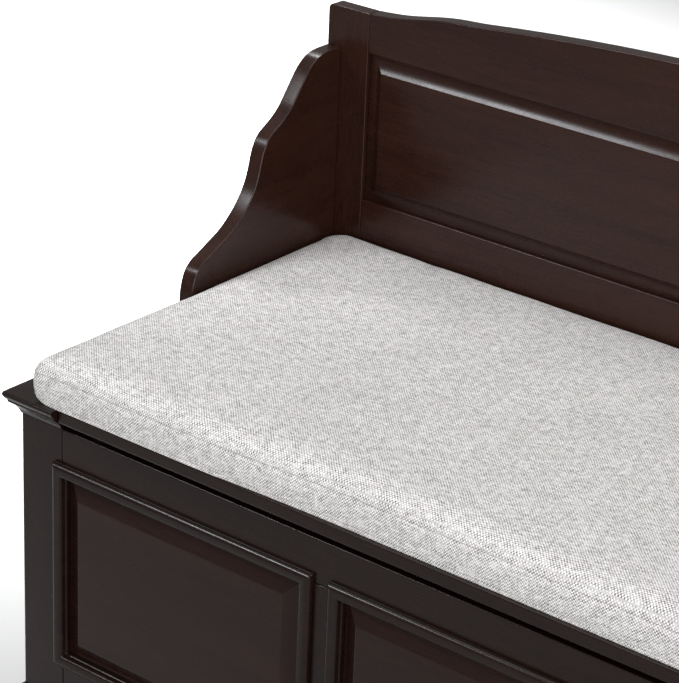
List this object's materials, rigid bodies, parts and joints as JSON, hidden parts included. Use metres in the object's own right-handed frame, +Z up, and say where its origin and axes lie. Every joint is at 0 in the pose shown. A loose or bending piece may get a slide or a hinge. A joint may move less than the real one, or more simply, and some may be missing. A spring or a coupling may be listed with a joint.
{
  "type": "storage bench",
  "caption": "High-back wooden storage bench: panelled case with hinged lid, scrolled arms, arched back with raised panel and a loose linen seat cushion.",
  "frame": {"origin": "on the floor under the middle of the bench, at the middle of its width and depth", "axes": "+X to the right along the seat as seen from the front, +Y from the front to the back, +Z up"},
  "size_m": [1.078, 0.46, 0.7406],
  "materials": {
    "frame_wood": "semi-gloss espresso lacquer",
    "panel_wood": "semi-gloss espresso lacquer",
    "inner_board": "flat brown stain",
    "hinge_steel": "antiqued",
    "bumper_rubber": "matte",
    "glide_plastic": "matte",
    "seat_linen": "heathered linen weave"
  },
  "bodies": {
    "case": {"arm_left": "frame_wood", "arm_right": "frame_wood", "back_lower_rail": "frame_wood", "back_panel": "panel_wood", "back_stile_left": "frame_wood", "back_stile_right": "frame_wood", "base_moulding_front": "frame_wood", "base_moulding_left": "frame_wood", "base_moulding_right": "frame_wood", "case_back_panel": "inner_board", "case_floor": "inner_board", "crest_rail": "frame_wood", "end_ledge_left": "frame_wood", "end_ledge_right": "frame_wood", "floor_cleat_front": "inner_board", "floor_cleat_rear": "inner_board", "front_bottom_rail": "frame_wood", "front_moulding_centre": "frame_wood", "front_moulding_left": "frame_wood", "front_moulding_right": "frame_wood", "front_muntin_left": "frame_wood", "front_muntin_right": "frame_wood", "front_panel_centre": "panel_wood", "front_panel_left": "panel_wood", "front_panel_right": "panel_wood", "front_post_left": "frame_wood", "front_post_right": "frame_wood", "front_top_rail": "frame_wood", "glide_front_left": "glide_plastic", "glide_front_right": "glide_plastic", "glide_rear_left": "glide_plastic", "glide_rear_right": "glide_plastic", "hinge_fixed_leaf_left": "hinge_steel", "hinge_fixed_leaf_right": "hinge_steel", "hinge_pin_left": "hinge_steel", "hinge_pin_right": "hinge_steel", "lid_bumper_left": "bumper_rubber", "lid_bumper_right": "bumper_rubber", "plinth_front": "frame_wood", "plinth_left": "frame_wood", "plinth_right": "frame_wood", "rear_bottom_rail": "frame_wood", "rear_leg_left": "frame_wood", "rear_leg_right": "frame_wood", "rear_top_rail": "frame_wood", "side_bottom_rail_left": "frame_wood", "side_bottom_rail_right": "frame_wood", "side_moulding_left": "frame_wood", "side_moulding_right": "frame_wood", "side_panel_left": "panel_wood", "side_panel_right": "panel_wood", "side_top_rail_left": "frame_wood", "side_top_rail_right": "frame_wood"},
    "lid": {"lid_board": "frame_wood", "lid_batten_left": "frame_wood", "lid_batten_right": "frame_wood", "hinge_moving_leaf_left": "hinge_steel", "hinge_moving_leaf_right": "hinge_steel"},
    "cushion": {"seat_cushion": "seat_linen"}
  },
  "joints": [
    {"name": "lid_hinge", "type": "hinge", "parent": "case", "child": "lid", "pos_m": [0, 0.209, 0.4208], "axis": [-1, 0, 0], "range_deg": [0, 65]},
    {"name": "cushion_slide", "type": "slide", "parent": "lid", "child": "cushion", "axis": [0, -1, 0], "range_m": [0, 0.0975]}
  ],
  "couplings": [
    {"joint": "cushion_slide", "follows": "lid_hinge", "m_per_rad": 0.0855}
  ]
}
